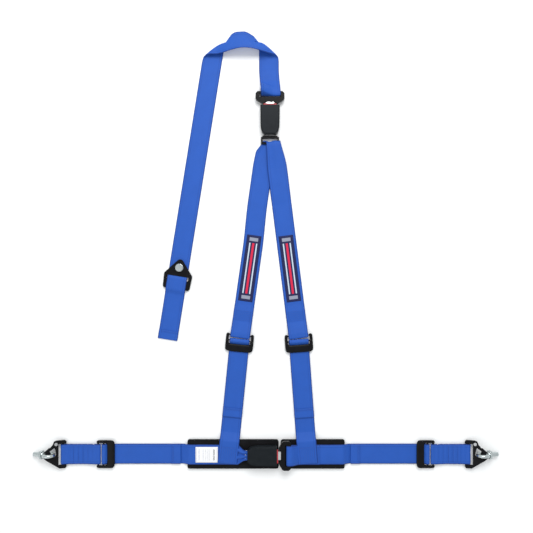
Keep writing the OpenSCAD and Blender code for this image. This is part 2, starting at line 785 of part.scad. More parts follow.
upper_buckle_base();
upper_buckle_cover();
upper_buckle_frame();
upper_buckle_button();
upper_buckle_latch();
upper_buckle_ejector();
upper_buckle_springs();
upper_anchor_ring();
upper_tongue_blade();
upper_tongue_grip();
rear_strap();
rear_bracket();
rear_anchor_bolt();
lap_buckle_base();
lap_buckle_cover();
lap_buckle_frame();
lap_buckle_button();
lap_buckle_latch();
lap_buckle_ejector();
lap_buckle_springs();
lap_tongue_blade();
lap_tongue_grip();
shoulder_strap_left();
shoulder_strap_right();
shoulder_patch_left();
shoulder_patch_right();
shoulder_adjuster_left();
shoulder_adjuster_right();
shoulder_lock_bar_left();
shoulder_lock_bar_right();
shoulder_turn_left();
shoulder_turn_right();
chest_strap_left();
chest_strap_right();
lap_strap_left();
lap_strap_right();
lap_pad_left();
lap_pad_right();
care_label();
lap_tail_left();
lap_tail_right();
lap_adjuster_left();
lap_adjuster_right();
lap_lock_bar_left();
lap_lock_bar_right();
lap_turn_left();
lap_turn_right();
hook_strap_left();
hook_strap_right();
snap_hook_left();
snap_hook_right();
hook_gate_left();
hook_gate_right();
gate_rivet_left();
gate_rivet_right();
gate_spring_left();
gate_spring_right();
eyebolt_left();
eyebolt_right();
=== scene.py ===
import json
import bpy
import numpy as np
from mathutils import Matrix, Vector


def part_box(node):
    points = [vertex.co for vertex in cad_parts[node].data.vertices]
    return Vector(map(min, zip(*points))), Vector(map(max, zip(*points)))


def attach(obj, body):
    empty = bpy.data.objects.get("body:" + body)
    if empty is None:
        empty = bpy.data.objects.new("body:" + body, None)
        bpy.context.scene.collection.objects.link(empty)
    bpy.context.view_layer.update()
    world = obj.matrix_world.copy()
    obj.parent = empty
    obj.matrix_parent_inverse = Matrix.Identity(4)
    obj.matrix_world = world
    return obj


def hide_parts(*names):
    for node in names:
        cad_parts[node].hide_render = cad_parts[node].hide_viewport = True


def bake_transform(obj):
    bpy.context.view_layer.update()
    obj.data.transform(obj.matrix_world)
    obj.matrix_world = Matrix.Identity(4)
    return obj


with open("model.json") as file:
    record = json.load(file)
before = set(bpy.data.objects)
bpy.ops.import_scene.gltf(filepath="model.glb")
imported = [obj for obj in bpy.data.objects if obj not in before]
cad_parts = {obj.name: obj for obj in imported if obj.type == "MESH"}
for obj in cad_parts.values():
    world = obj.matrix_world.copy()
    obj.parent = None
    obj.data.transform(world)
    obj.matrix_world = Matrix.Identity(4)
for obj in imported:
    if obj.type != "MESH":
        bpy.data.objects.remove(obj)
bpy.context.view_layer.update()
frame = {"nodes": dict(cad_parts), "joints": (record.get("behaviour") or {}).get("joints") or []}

# ---- Camera: looks straight down on the laid-out harness from about a metre and a half ----

CAMERA_HEIGHT, VIEW_WIDTH, SENSOR_MM = 1.55, 1.302, 36
camera = bpy.data.objects.new("camera", bpy.data.cameras.new("camera"))
bpy.context.collection.objects.link(camera)
camera.location = (0.002, -0.0308, CAMERA_HEIGHT)
camera.data.sensor_width = SENSOR_MM
camera.data.lens = SENSOR_MM * CAMERA_HEIGHT / VIEW_WIDTH
camera.data.dof.use_dof = False
bpy.context.scene.camera = camera

# ---- Studio: a white table top under one big soft light beyond the rear strap, with weak fill ----


def stage_material():
    mat = bpy.data.materials.new("table_white")
    mat.use_nodes = True
    shader = mat.node_tree.nodes["Principled BSDF"]
    shader.inputs["Base Color"].default_value = (0.92, 0.925, 0.92, 1)
    shader.inputs["Roughness"].default_value = 0.7
    return mat


bpy.ops.mesh.primitive_plane_add(size=8)
table = bpy.context.object
table.name = "table_top"
table.data.materials.append(stage_material())

world = bpy.data.worlds.new("studio")
world.use_nodes = True
world.node_tree.nodes["Background"].inputs["Color"].default_value = (0.96, 0.98, 1, 1)
world.node_tree.nodes["Background"].inputs["Strength"].default_value = 0.75
bpy.context.scene.world = world


def soft_light(name, place, aim, size, watts):
    """Square area light at place, turned to face aim."""
    lamp = bpy.data.lights.new(name, "AREA")
    lamp.size = size
    lamp.energy = watts
    holder = bpy.data.objects.new(name, lamp)
    bpy.context.collection.objects.link(holder)
    holder.location = place
    holder.rotation_euler = (Vector(aim) - Vector(place)).to_track_quat("-Z", "Y").to_euler()


soft_light("top_light", (0.2, 1.5, 2.0), (0, 0, 0), 1.2, 42)
soft_light("fill_light", (-1.6, -1.4, 2.4), (0, 0, 0), 2.2, 14)
bpy.context.scene.view_settings.view_transform = "Standard"

# ---- Webbing: flat woven polyester strap, 48 mm wide, ribbed along its length ----
# Each strap is one closed ribbon carried along its route. Its weave runs on the ribbon's
# own map: u is metres across from the middle, v is metres along.

WEB_W, WEB_T = 0.048, 0.0015
WEB_Z = 0.0011                      # middle of a strap that lies on the table
LAYER, HEM = 0.002, 0.0017          # rise to a second layer, and to a hem folded tight
SIDES = ("left", "right")
MIRRORED = (("left", -1, 0.0), ("right", 1, 180.0))     # side, sign of X, heading of its lap end


def soft_path(points, round_m=0.003, step=0.0015):
    """Polyline resampled at even steps and smoothed by a bell-shaped average along its length;
    its two ends stay where they are."""
    p = np.array(points, float)
    run = np.r_[0, np.cumsum(np.linalg.norm(np.diff(p, axis=0), axis=1))]
    s = np.linspace(0, run[-1], max(8, int(run[-1] / step)))
    fine = np.stack([np.interp(s, run, p[:, k]) for k in range(p.shape[1])], 1)
    pad = int(3 * round_m / step) + 1
    head = fine[0] + (fine[0] - fine[1]) * np.arange(pad, 0, -1)[:, None]
    tail = fine[-1] + (fine[-1] - fine[-2]) * np.arange(1, pad + 1)[:, None]
    long = np.concatenate([head, fine, tail])
    bell = np.exp(-0.5 * (np.arange(-pad, pad + 1) * step / round_m) ** 2)
    bell /= bell.sum()
    out = np.stack([np.convolve(long[:, k], bell, "valid") for k in range(p.shape[1])], 1)
    out[0], out[-1] = fine[0], fine[-1]
    return out


def new_mesh(name, points, faces, material, uv=None):
    """Mesh object from arrays, smooth shaded, with an optional map given per point."""
    mesh = bpy.data.meshes.new(name)
    mesh.from_pydata(points.tolist(), [], faces.tolist())
    mesh.polygons.foreach_set("use_smooth", np.ones(len(faces), bool))
    if uv is not None:
        corner = np.zeros(len(mesh.loops), np.int32)
        mesh.loops.foreach_get("vertex_index", corner)
        mesh.uv_layers.new(name="weave").data.foreach_set("uv", uv[corner].ravel())
    mesh.materials.append(material)
    piece = bpy.data.objects.new(name, mesh)
    bpy.context.collection.objects.link(piece)
    return piece


def ribbon(name, surface, normal, across, along, material, thick=WEB_T):
    """Closed band from a middle surface of rows along by columns across: the surface is
    offset half the thickness both ways, thinned towards its two edges, and the two
    skins are joined round all four sides."""
    rows, cols = surface.shape[:2]
    edge = 1 - 0.45 * np.abs(np.linspace(-1, 1, cols)) ** 14
    half = thick / 2 * edge[None, :, None]
    ring = np.concatenate([surface + normal * half, (surface - normal * half)[:, ::-1]], 1)
    flat = np.stack([np.broadcast_to(across, (rows, cols)), np.broadcast_to(along, (rows, cols))], 2)
    flat = np.concatenate([flat, flat[:, ::-1]], 1)
    n = 2 * cols
    i, j = np.meshgrid(np.arange(rows - 1), np.arange(n), indexing="ij")
    a, b = i * n + j, i * n + (j + 1) % n
    quads = np.stack([a, b, b + n, a + n], 2).reshape(-1, 4)
    k = np.arange(cols - 1)
    cap = np.stack([k, n - 1 - k, n - 2 - k, k + 1], 1)
    last = (rows - 1) * n
    caps = np.concatenate([cap, last + cap[:, ::-1]])
    return new_mesh(name, ring.reshape(-1, 3), np.concatenate([quads, caps]), material,
                    flat.reshape(-1, 2))


def surface_normals(surface):
    """Unit normals of a grid surface, from its differences along rows and columns."""
    n = np.cross(np.gradient(surface, axis=1), np.gradient(surface, axis=0))
    return n / np.maximum(np.linalg.norm(n, axis=2, keepdims=True), 1e-12)


def placed(points, origin, angle):
    """Points turned by angle degrees about Z and moved to origin."""
    a = np.radians(angle)
    turn = np.array([[np.cos(a), -np.sin(a), 0], [np.sin(a), np.cos(a), 0], [0, 0, 1]])
    return points @ turn.T + np.array(origin, float)


def strap(name, route, material, origin=(0, 0, 0), angle=0.0, width=None, sway=None,
          crown=None, round_m=0.003, v0=0.0, cols=15, step=0.0015):
    """Strap that follows a side view route in X and Z, in a frame turned about Z: width(s) is its
    breadth, sway(s) its sideways shift, crown(s, t) its extra height, all against length s."""
    line = soft_path(route, round_m, step)
    s = np.r_[0, np.cumsum(np.linalg.norm(np.diff(line, axis=0), axis=1))]
    t = np.linspace(-1, 1, cols)
    wide = np.broadcast_to(WEB_W if width is None else width(s), s.shape)
    side = np.zeros(len(s)) if sway is None else sway(s)
    surface = np.zeros((len(s), cols, 3))
    surface[:, :, 0] = line[:, :1]
    surface[:, :, 1] = wide[:, None] / 2 * t + side[:, None]
    surface[:, :, 2] = line[:, 1:]
    if crown is not None:
        surface += surface_normals(surface) * crown(s[:, None], t[None, :])[:, :, None]
    surface = placed(surface, origin, angle)
    piece = ribbon(name, surface, surface_normals(surface), WEB_W / 2 * t, (v0 + s)[:, None], material)
    return piece, float(s[-1])


def node(tree, kind, **values):
    """Shader node with its values set by input name or attribute."""
    made = tree.nodes.new(kind)
    for key, value in values.items():
        if hasattr(made, key):
            setattr(made, key, value)
        else:
            made.inputs[key.replace("_", " ")].default_value = value
    return made


def math_node(tree, operation, a, b=None):
    """Math node fed by links or numbers."""
    made = tree.nodes.new("ShaderNodeMath")
    made.operation = operation
    for socket, value in zip(made.inputs, (a, b)):
        if value is None:
            continue
        if isinstance(value, (int, float)):
            socket.default_value = value
        else:
            tree.links.new(value, socket)
    return made.outputs[0]


def ramp_node(tree, fac, low, high, lo=(0, 0, 0, 1), hi=(1, 1, 1, 1)):
    """Colour ramp between two stops."""
    made = tree.nodes.new("ShaderNodeValToRGB")
    made.color_ramp.elements[0].position = low
    made.color_ramp.elements[1].position = high
    made.color_ramp.elements[0].color = lo
    made.color_ramp.elements[1].color = hi
    tree.links.new(fac, made.inputs[0])
    return made.outputs[0]


def mix_color(tree, fac, a, b):
    """Colour mix fed by links or colours."""
    made = tree.nodes.new("ShaderNodeMix")
    made.data_type = "RGBA"
    for socket, value in ((made.inputs[0], fac), (made.inputs[6], a), (made.inputs[7], b)):
        if isinstance(value, (int, float, tuple)):
            socket.default_value = value
        else:
            tree.links.new(value, socket)
    return made.outputs[2]


def webbing_material(name, base, edge, rib):
    """Ribs along the strap, a fine cross weave, a dark line inside each edge, darker selvedges and
    faint mottling."""
    mat = bpy.data.materials.new(name)
    mat.use_nodes = True
    tree = mat.node_tree
    shader = tree.nodes["Principled BSDF"]
    split = tree.nodes.new("ShaderNodeSeparateXYZ")
    tree.links.new(tree.nodes.new("ShaderNodeUVMap").outputs[0], split.inputs[0])
    u, v = split.outputs[0], split.outputs[1]
    out = math_node(tree, "ABSOLUTE", u)
    ribs = math_node(tree, "SINE", math_node(tree, "MULTIPLY", u, 2 * np.pi / 0.0016))
    picks = math_node(tree, "SINE", math_node(tree, "MULTIPLY", v, 2 * np.pi / 0.0012))
    weave = math_node(tree, "MULTIPLY", ribs, picks)
    selvedge = ramp_node(tree, math_node(tree, "MULTIPLY", out, 40), 0.86, 0.90)
    band = math_node(tree, "COMPARE", out, 0.0178)
    band.node.inputs[2].default_value = 0.0007
    cloudy = node(tree, "ShaderNodeTexNoise", Scale=38.0, Detail=3.0)
    tree.links.new(tree.nodes.new("ShaderNodeTexCoord").outputs["Object"], cloudy.inputs["Vector"])
    tone = mix_color(tree, cloudy.outputs[0], base, tuple(np.minimum(1, np.array(base) * rib)))
    lined = mix_color(tree, math_node(tree, "MULTIPLY", band, 0.35), tone, edge)
    colour = mix_color(tree, math_node(tree, "MULTIPLY", selvedge, 0.75), lined, edge)
    tree.links.new(colour, shader.inputs["Base Color"])
    shader.inputs["Roughness"].default_value = 0.58
    shader.inputs["Specular IOR Level"].default_value = 0.3
    shader.inputs["Sheen Weight"].default_value = 0.08
    shader.inputs["Sheen Roughness"].default_value = 0.4
    bump = node(tree, "ShaderNodeBump", Strength=0.35, Distance=0.0004)
    tree.links.new(math_node(tree, "ADD", math_node(tree, "MULTIPLY", weave, 0.5),
                             math_node(tree, "MULTIPLY", ribs, 0.5)), bump.inputs["Height"])
    tree.links.new(bump.outputs[0], shader.inputs["Normal"])
    return mat


webbing_blue = webbing_material("webbing_blue", (0.0115, 0.079, 0.39, 1), (0.006, 0.037, 0.23, 1), 1.16)

# ---- Rear strap: looped through the upper tongue, folded over twice, and run down to its ----
# anchor bracket. Both folds are soft half turns of the flat strap about a slanting line.

MM = 0.001
tongue_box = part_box("upper_tongue_grip")
spine_x = float(tongue_box[0][0] + tongue_box[1][0]) / 2
upper_mouth = float(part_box("upper_buckle_cover")[1][1])
FOLD_R, REAR_LEAN = 0.0065, 9.1
FOLD_X, FOLD_UP, CROSS_RUN = 0.032, 0.110, 0.138        # right fold's place and the run to the left one
LEG_RUN, TAIL_RUN = 0.555, 0.157
GRIP_TOP, GRIP_LOW = 0.01605, 0.00495


def fold(points, through, normal, radius):
    """Half turn of everything past a line: distance q past the line becomes an arc of the given
    radius, rising, and what lies beyond half a turn comes back upside down on top."""
    q = (points[..., :2] - through) @ normal
    z = points[..., 2]
    turn = np.clip(q / radius, 0, np.pi)
    beyond = np.maximum(q - np.pi * radius, 0)
    new_q = np.where(q > 0, (radius - z) * np.sin(turn) - beyond, q)
    new_z = np.where(q > 0, radius - (radius - z) * np.cos(turn), z)
    out = points.copy()
    out[..., :2] += (new_q - q)[..., None] * normal
    out[..., 2] = new_z
    return out


def smooth(x):
    """Smooth step from 0 to 1."""
    x = np.clip(x, 0, 1)
    return x * x * (3 - 2 * x)


lean = np.radians(REAR_LEAN)
fold_a = np.array([FOLD_X, upper_mouth + FOLD_UP])
normal_1 = np.array([1, 1]) / np.sqrt(2)
fold_p = fold_a - [CROSS_RUN + WEB_W, 0]
fold_span = np.array([WEB_W * (1 + np.sin(lean)) / np.cos(lean), WEB_W])
normal_2 = np.array([-fold_span[1], fold_span[0]]) / np.linalg.norm(fold_span)
slot_at = fold_p + fold_span / 2 - LEG_RUN * np.array([np.sin(lean), np.cos(lean)])


def unfold(point, through, normal):
    """Where a point past a half turn lies on the strap before it is folded."""
    return point + normal * (np.pi * FOLD_R - 2 * (point - through) @ normal)


flat_p = unfold(fold_p, fold_a, normal_1)
flat_n = normal_2 - 2 * (normal_2 @ normal_1) * normal_1
slot_y = float(unfold(unfold(slot_at, fold_a, normal_1), flat_p, flat_n)[1])
rear_top = float(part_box("rear_bracket")[1][2]) + 0.0012
rear_route = [[upper_mouth + 0.044, GRIP_LOW - 0.0006], [upper_mouth + 0.027, GRIP_LOW - 0.0006],
              [upper_mouth + 0.0232, GRIP_LOW + 0.002], [upper_mouth + 0.0232, GRIP_TOP - 0.002],
              [upper_mouth + 0.027, GRIP_TOP], [upper_mouth + 0.036, GRIP_TOP - 0.0004],
              [upper_mouth + 0.062, 0.0032], [upper_mouth + 0.085, WEB_Z], [slot_y - 0.004, WEB_Z],
              [slot_y + 0.0045, rear_top], [slot_y + 0.034, rear_top], [slot_y + 0.044, WEB_Z + 0.0005],
              [slot_y + 0.060, WEB_Z], [slot_y + TAIL_RUN, WEB_Z], [slot_y + 0.1578, WEB_Z + 0.0008],
              [slot_y + TAIL_RUN, WEB_Z + HEM], [slot_y + 0.135, WEB_Z + HEM]]
line = soft_path(rear_route, 0.002, 0.002)
t = np.linspace(-1, 1, 17)
rear = np.zeros((len(line), len(t), 3))
drift = 0.0045 * (1 - smooth((line[:, 0] - upper_mouth - 0.02) / 0.075))
rear[:, :, 0] = fold_a[0] - WEB_W / 2 + drift[:, None] + WEB_W / 2 * t
rear[:, :, 1] = line[:, :1]
rear[:, :, 2] = line[:, 1:]
rear = fold(fold(rear, flat_p, flat_n, FOLD_R), fold_a, normal_1, FOLD_R)
# the cross run springs up in the middle, its lower edge most
reach = (fold_a[0] - 0.012 - rear[:, :, 0]) / (fold_a[0] - fold_p[0] - 0.046)
spring_up = smooth((rear[:, :, 2] - 0.009) / 0.004) * np.sin(np.pi * np.clip(reach, 0, 1)) ** 1.4
lower = np.clip((fold_p[1] + WEB_W - rear[:, :, 1]) / WEB_W, 0, 1)
rear[:, :, 2] += spring_up * (0.012 + 0.020 * lower)
rear[:, :, 1] += spring_up * (0.004 + 0.010 * lower)
# and its upper corners are drawn down, so that it hangs as a dome
upper = np.clip((rear[:, :, 1] - fold_p[1]) / WEB_W, 0, 1.1)
centre = (fold_a[0] + fold_p[0]) / 2
rear[:, :, 1] -= 0.008 * upper ** 5 * smooth((np.abs(rear[:, :, 0] - centre) - 0.008) / 0.034)
length = np.r_[0, np.cumsum(np.linalg.norm(np.diff(line, axis=0), axis=1))]
rear_piece = ribbon("rear_strap_web", rear, surface_normals(rear), WEB_W / 2 * t, length[:, None],
                    webbing_blue)
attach(rear_piece, "rear_strap")
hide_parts("rear_strap")

# ---- Shoulder straps: one length of webbing hung over the anchor ring at its middle, the right ----
# run lying on the left. Each is bunched in the ring and sewn in a loop round its adjuster's bar.

JOINTS = {joint["name"]: joint for joint in frame["joints"]}
RING_Y = upper_mouth - 0.091
BAR_Z = float(JOINTS["shoulder_adjuster_tilt_left"]["pos_m"][2])
LOOP_R = 0.0026
ring_z = float(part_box("upper_anchor_ring")[0][2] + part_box("upper_anchor_ring")[1][2]) / 2


def bar_loop_route(x):
    """Side view of a strap end sewn round an adjuster's fixed bar at x, coming from -X."""
    return [[x - 0.076, WEB_Z], [x - 0.060, WEB_Z + LAYER], [x - 0.034, WEB_Z + LAYER],
            [x - 0.006, BAR_Z + LOOP_R], [x + 0.003, BAR_Z + LOOP_R], [x + 0.0060, BAR_Z + 0.0012],
            [x + 0.0060, BAR_Z - 0.0012], [x + 0.003, BAR_Z - LOOP_R], [x - 0.006, BAR_Z - LOOP_R],
            [x - 0.026, WEB_Z], [x - 0.056, WEB_Z]]


def shoulder_bar(side):
    """Middle of a shoulder adjuster's fixed bar, which it tips about."""
    return np.array(JOINTS["shoulder_adjuster_tilt_" + side]["pos_m"], float)


def shoulder_place(side):
    """Origin on the ring, heading and length of a shoulder strap, from the ring to its adjuster's bar."""
    bar = shoulder_bar(side)[:2]
    start = np.array([spine_x + (0.010 if side == "right" else -0.006), RING_Y])
    run = bar - start
    return start, float(np.degrees(np.arctan2(run[1], run[0]))), float(np.linalg.norm(run))


def shoulder_body(side):
    """The half of the harness that a side's straps belong to."""
    return "harness" if side == "left" else "right_half"


def bunched_left(s):
    """Breadth of the left strap: gathered in the ring, full width soon below it."""
    return 0.030 + (WEB_W - 0.030) * smooth((s - 0.004) / 0.030)


def bunched_right(s):
    """Breadth of the right strap: lies wider on the ring and opens out over 75 mm."""
    return 0.033 + (WEB_W - 0.033) * smooth((s + 0.010) / 0.085)


def sway_left(s):
    """Sideways shift of the left strap: off the ring's middle, then leaning in as it goes down."""
    return 0.003 * (1 - smooth(s / 0.03)) - 0.0035 * smooth(s / 0.07) * (1 - smooth((s - 0.15) / 0.12))


def sway_right(s):
    """Sideways shift of the right strap on the ring."""
    return -0.0015 * (1 - smooth(s / 0.06))


def ring_wave(s, t):
    """Soft fold across a strap where the ring bunches it, fading out below."""
    return -0.0008 * (1 + np.sin(5.2 * t + 0.8)) * (1 - smooth((s - 0.02) / 0.11))


for side in SIDES:
    start, heading, reach_l = shoulder_place(side)
    high, under = ring_z + 0.0037, ring_z - 0.0037
    if side == "right":
        top = [[-0.0048, ring_z - 0.002], [-0.0046, ring_z + 0.002], [-0.0015, high + 0.0002],
               [0.002, high + 0.0006], [0.012, high], [0.06, WEB_Z + LAYER + 0.002], [0.118, WEB_Z + LAYER]]
        bunched, sway = bunched_right, sway_right
    else:
        top = [[-0.0046, ring_z + 0.001], [-0.0046, ring_z - 0.002], [-0.0015, under], [0.008, under],
               [0.03, WEB_Z]]
        bunched, sway = bunched_left, sway_left
    piece, long = strap("shoulder_web_" + side, top + [[0.150, WEB_Z]] + bar_loop_route(reach_l), webbing_blue,
                        origin=(*start, 0), angle=heading, width=bunched, sway=sway, crown=ring_wave,
                        round_m=0.0016)
    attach(piece, shoulder_body(side))
    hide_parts("shoulder_strap_" + side)

# ---- Chest straps: from a sewn end on the lap strap up to the shoulder adjuster, round its lock ----
# bar and back as a free end that lies on top.

LOCK_X, LOCK_Z, LOCK_R = 0.013, 0.0066, 0.002
TAIL_Z, TAIL_L = WEB_Z + LAYER + 0.0004, 0.200
turn_top = LOCK_Z + LOCK_R + 0.0011
turn_low = LOCK_Z - LOCK_R - 0.0011
pad_top = float(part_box("lap_pad_left")[1][2])
pad_edge_y = float(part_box("lap_pad_left")[1][1])
lap_y = float(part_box("lap_pad_left")[0][1] + pad_edge_y) / 2


def adjuster_turn_route():
    """Side view of a strap from under the grip bar, up round the lock bar and out on top again."""
    return [[0.060, WEB_Z], [0.024, WEB_Z], [LOCK_X + 0.003, turn_low - 0.0006], [LOCK_X - 0.001, turn_low],
            [LOCK_X - 0.0045, turn_low + 0.0014], [LOCK_X - 0.0045, turn_top - 0.0014],
            [LOCK_X - 0.001, turn_top], [LOCK_X + 0.0025, turn_top], [LOCK_X + 0.0075, TAIL_Z + 0.001],
            [0.024, TAIL_Z], [0.060, TAIL_Z], [TAIL_L - 0.03, TAIL_Z],
            [TAIL_L, TAIL_Z], [TAIL_L + 0.0008, TAIL_Z + 0.0008], [TAIL_L, TAIL_Z + HEM],
            [TAIL_L - 0.022, TAIL_Z + HEM]]


def chest_end_z(side):
    """Height of a chest strap's sewn end: on the left lap strap, or on the right one and its loop."""
    return pad_top + WEB_Z + LAYER * (2 if side == "right" else 1)


CHEST_HEADING = {"left": -95.7, "right": -85.8}
for side in SIDES:
    bar = shoulder_bar(side)
    heading = CHEST_HEADING[side]
    down = abs(np.sin(np.radians(heading)))
    rise = (bar[1] - pad_edge_y) / down
    end = (bar[1] - lap_y + WEB_W / 2 - 0.003) / down
    over = chest_end_z(side)
    route = [[end, over], [rise + 0.003, over], [rise - 0.016, WEB_Z + 0.0008], [rise - 0.05, WEB_Z]]
    route += adjuster_turn_route()
    piece, long = strap("chest_web_" + side, route, webbing_blue, origin=(bar[0], bar[1], 0), angle=heading,
                        round_m=0.0016, v0=0.3)
    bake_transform(piece)
    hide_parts("chest_strap_" + side, "shoulder_turn_" + side)

# ---- Lap straps: the left one is gathered into the buckle's rear end, the right one is sewn in a ----
# loop round the tongue. Both run out over their pads to the lap adjusters.

lap_mouth = float(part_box("lap_buckle_cover")[1][0])
neck_x = float(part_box("lap_buckle_frame")[0][0])
neck_z = pad_top + 0.0066
adj_x = abs(float(JOINTS["lap_adjuster_tilt_right"]["pos_m"][0]))
HANDOVER = 0.060
left_edge = float(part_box("lap_pad_left")[0][0])
right_edge = float(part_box("lap_pad_right")[1][0])
over_pad = pad_top + WEB_Z


def ripple(s, t):
    """Soft lengthwise lie of a strap over a pad: two low waves."""
    return 0.0005 * np.sin(s * 41) + 0.0004 * np.sin(s * 67 + 2 * t)


left_route = [[-adj_x + HANDOVER, WEB_Z], [left_edge - 0.012, WEB_Z], [left_edge - 0.003, WEB_Z + 0.004],
              [left_edge + 0.005, over_pad], [neck_x - 0.018, over_pad], [neck_x - 0.009, neck_z],
              [neck_x, neck_z + 0.002], [neck_x + 0.009, neck_z + 0.002]]
left_long = float(np.linalg.norm(np.diff(np.array(left_route), axis=0), axis=1).sum())


def gathered(s):
    """Breadth of the left lap strap: full, then drawn in to the buckle's neck over its last 31 mm."""
    return WEB_W - (WEB_W - 0.0235) * smooth((s - (left_long - 0.031)) / 0.022)


def pleats(s, t):
    """Nearly three pleats that rise where the strap is drawn in."""
    rise = smooth((s - (left_long - 0.038)) / 0.016) * (1 - 0.75 * smooth((s - (left_long - 0.012)) / 0.008))
    return 0.0026 * np.sin(8.5 * t + 0.6) * rise * (1 - 0.5 * t ** 4)


piece, long = strap("lap_web_left", left_route, webbing_blue, origin=(0, lap_y, 0), width=gathered,
                    crown=lambda s, t: pleats(s, t) + ripple(s, t) * smooth((s - 0.17) / 0.03), cols=33)
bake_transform(piece)
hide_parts("lap_strap_left")

grip_h = 0.0047 + 0.0011
grip_mid = pad_top + 0.0105
right_route = [[adj_x - HANDOVER, WEB_Z], [right_edge + 0.012, WEB_Z], [right_edge + 0.003, WEB_Z + 0.004],
               [right_edge - 0.005, over_pad], [lap_mouth + 0.062, over_pad], [lap_mouth + 0.038, grip_mid - grip_h],
               [lap_mouth + 0.027, grip_mid - grip_h], [lap_mouth + 0.0232, grip_mid - 0.003],
               [lap_mouth + 0.0232, grip_mid + 0.003], [lap_mouth + 0.027, grip_mid + grip_h],
               [lap_mouth + 0.036, grip_mid + grip_h - 0.0003], [lap_mouth + 0.052, over_pad + LAYER + 0.0014],
               [lap_mouth + 0.060, over_pad + LAYER], [lap_mouth + 0.104, over_pad + LAYER]]
piece, long = strap("lap_web_right", right_route, webbing_blue, origin=(0, lap_y, 0), round_m=0.0016,
                    crown=lambda s, t: ripple(s, t) * smooth((s - 0.17) / 0.03) * smooth((0.30 - s) / 0.03))
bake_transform(piece)
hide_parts("lap_strap_right")

# ---- Lap strap ends: each lap strap goes on under its adjuster's grip bar, round the lock bar and ----
# back as the free end.

for side, sign, heading in MIRRORED:
    piece, long = strap("lap_tail_web_" + side, adjuster_turn_route(), webbing_blue,
                        origin=(sign * adj_x, lap_y, 0), angle=heading, round_m=0.0016, v0=0.2)
    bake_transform(piece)
    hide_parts("lap_tail_" + side, "lap_turn_" + side)

# ---- Hook straps: a short length sewn double between the adjuster's fixed bar and the hook ----

hook_x = abs(float(JOINTS["hook_swing_right"]["pos_m"][0]))
hook_z = float(JOINTS["hook_swing_right"]["pos_m"][2])


def puckered(s, t):
    """Cross puckers that the rows of stitching draw into the strap."""
    return 0.0006 * np.sin(s * 2 * np.pi / 0.011) * (1 - 0.5 * t ** 2)


for side, sign, heading in MIRRORED:
    x = -(hook_x - adj_x)
    r = 0.0031          # strap's middle from the hook bar's
    route = [[-0.014, BAR_Z - LOOP_R], [-0.032, 0.0036], [x + 0.014, 0.0030], [x - 0.002, hook_z - r],
             [x - 0.0054, hook_z - 0.0012], [x - 0.0056, hook_z + 0.002], [x - 0.002, hook_z + r + 0.0006],
             [x + 0.014, 0.0070], [-0.032, 0.0060], [-0.008, BAR_Z + LOOP_R], [0.003, BAR_Z + LOOP_R],
             [0.0060, BAR_Z + 0.0012], [0.0060, BAR_Z - 0.0012], [0.003, BAR_Z - LOOP_R],
             [-0.011, BAR_Z - LOOP_R]]
    piece, long = strap("hook_web_" + side, route, webbing_blue, origin=(sign * adj_x, lap_y, 0), angle=heading,
                        crown=puckered, round_m=0.0016)
    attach(piece, "lap_end_" + side)
    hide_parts("hook_strap_" + side)

# ---- Belly pads: black woven covers over soft foam, bound with a rolled edge ----


def cloth_material(name, base, light, scale):
    """Plain woven cloth with soft wear, on Object coordinates."""
    mat = bpy.data.materials.new(name)
    mat.use_nodes = True
    tree = mat.node_tree
    shader = tree.nodes["Principled BSDF"]
    place = tree.nodes.new("ShaderNodeTexCoord").outputs["Object"]
    split = tree.nodes.new("ShaderNodeSeparateXYZ")
    tree.links.new(place, split.inputs[0])
    warp = math_node(tree, "SINE", math_node(tree, "MULTIPLY", split.outputs[0], 2 * np.pi / scale))
    weft = math_node(tree, "SINE", math_node(tree, "MULTIPLY", split.outputs[1], 2 * np.pi / scale))
    weave = math_node(tree, "MULTIPLY", warp, weft)
    worn = node(tree, "ShaderNodeTexNoise", Scale=26.0, Detail=4.0)
    tree.links.new(place, worn.inputs["Vector"])
    colour = mix_color(tree, ramp_node(tree, worn.outputs[0], 0.4, 0.75), base, light)
    tree.links.new(colour, shader.inputs["Base Color"])
    shader.inputs["Roughness"].default_value = 0.85
    shader.inputs["Specular IOR Level"].default_value = 0.15
    shader.inputs["Sheen Weight"].default_value = 0.03
    bump = node(tree, "ShaderNodeBump", Strength=0.3, Distance=0.0003)
    tree.links.new(weave, bump.inputs["Height"])
    tree.links.new(bump.outputs[0], shader.inputs["Normal"])
    return mat


